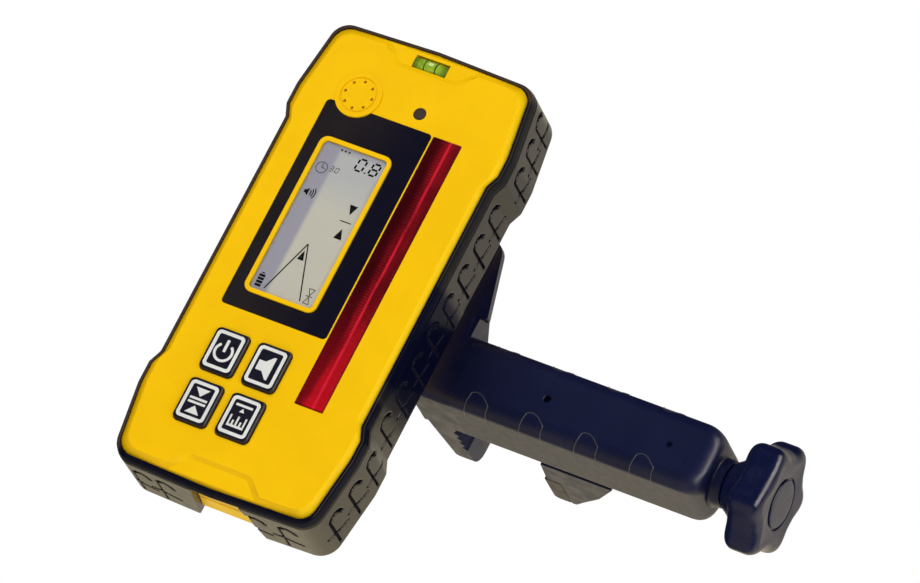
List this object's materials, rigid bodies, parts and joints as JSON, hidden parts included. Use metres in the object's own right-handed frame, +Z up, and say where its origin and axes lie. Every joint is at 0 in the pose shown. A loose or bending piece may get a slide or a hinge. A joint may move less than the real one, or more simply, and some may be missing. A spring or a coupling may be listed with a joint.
{
  "type": "laser receiver with rod clamp",
  "caption": "Hand-held laser receiver with a tall red sensor window, display, keys and level vial, on a clamp with a sliding jaw that grips a levelling rod.",
  "frame": {"origin": "middle of the rod seat on the rear of the clamp's handle, between the jaws", "axes": "+X along the handle towards the knob, +Y out of the seat into the rod, +Z up"},
  "size_m": [0.2014, 0.0969, 0.1699],
  "materials": {
    "yellow_shell": "satin",
    "black_rubber": "matte",
    "black_plastic": "fine grain",
    "black_gloss": "gloss",
    "clear_lens": "clear",
    "lcd_glass": "satin",
    "white_plastic": "matte",
    "red_window": "ribbed gloss",
    "circuit_board": "satin",
    "flex_film": "satin",
    "green_vial": "clear",
    "cell_jacket": "gloss",
    "steel": "plated",
    "brass": "machined"
  },
  "bodies": {
    "receiver": {"front_shell": "yellow_shell", "rear_shell": "yellow_shell", "bumper": "black_rubber", "case_seal": "black_rubber", "bezel": "black_gloss", "display_lens": "clear_lens", "lcd_panel": "lcd_glass", "backlight": "white_plastic", "red_window": "red_window", "diode_board": "circuit_board", "photodiodes": "black_plastic", "main_board": "circuit_board", "board_chips": "black_plastic", "flex_link": "flex_film", "dome_switches": "steel", "buzzer": "steel", "status_lens": "black_gloss", "level_vial": "green_vial", "door_pin": "steel", "door_seal": "black_rubber", "battery_cells": "cell_jacket", "battery_contacts": "steel", "case_screws": "steel", "mount_insert": "brass", "clamp_frame": "black_plastic", "grip_sleeve": "black_rubber", "handle_end_cap": "black_plastic", "thrust_bush": "brass", "end_bush": "brass", "attach_washer": "steel"},
    "power_button": {"power_key": "black_rubber"},
    "sound_button": {"sound_key": "black_rubber"},
    "precision_button": {"precision_key": "black_rubber"},
    "units_button": {"units_key": "black_rubber"},
    "door": {"battery_door": "yellow_shell"},
    "jaw": {"moving_jaw": "black_plastic", "jaw_pad": "black_rubber", "jaw_nut": "brass"},
    "screw": {"lead_screw": "steel", "thrust_collar": "steel", "knob": "black_plastic", "knob_cap": "black_plastic"},
    "fixing": {"attach_screw": "black_plastic"}
  },
  "joints": [
    {"name": "power_press", "type": "slide", "parent": "receiver", "child": "power_button", "axis": [0, 1, 0], "range_m": [0, 0.001], "stiffness_N_per_m": 400},
    {"name": "sound_press", "type": "slide", "parent": "receiver", "child": "sound_button", "axis": [0, 1, 0], "range_m": [0, 0.001], "stiffness_N_per_m": 400},
    {"name": "precision_press", "type": "slide", "parent": "receiver", "child": "precision_button", "axis": [0, 1, 0], "range_m": [0, 0.001], "stiffness_N_per_m": 400},
    {"name": "units_press", "type": "slide", "parent": "receiver", "child": "units_button", "axis": [0, 1, 0], "range_m": [0, 0.001], "stiffness_N_per_m": 400},
    {"name": "door_swing", "type": "hinge", "parent": "receiver", "child": "door", "pos_m": [-0.0495, -0.0302, -0.0134], "axis": [1, 0, 0], "range_deg": [0, 90]},
    {"name": "knob_turn", "type": "hinge", "parent": "receiver", "child": "screw", "pos_m": [0.1, -0.01395, -0.0012], "axis": [1, 0, 0], "range_deg": [-2160, 2700]},
    {"name": "jaw_slide", "type": "slide", "parent": "receiver", "child": "jaw", "axis": [1, 0, 0], "range_m": [-0.0241, 0.0301]},
    {"name": "fixing_turn", "type": "hinge", "parent": "receiver", "child": "fixing", "pos_m": [-0.0495, -0.02, 0.01575], "axis": [0, 1, 0], "continuous": true}
  ],
  "couplings": [
    {"joint": "jaw_slide", "follows": "knob_turn", "m_per_rad": 0.00063662}
  ]
}
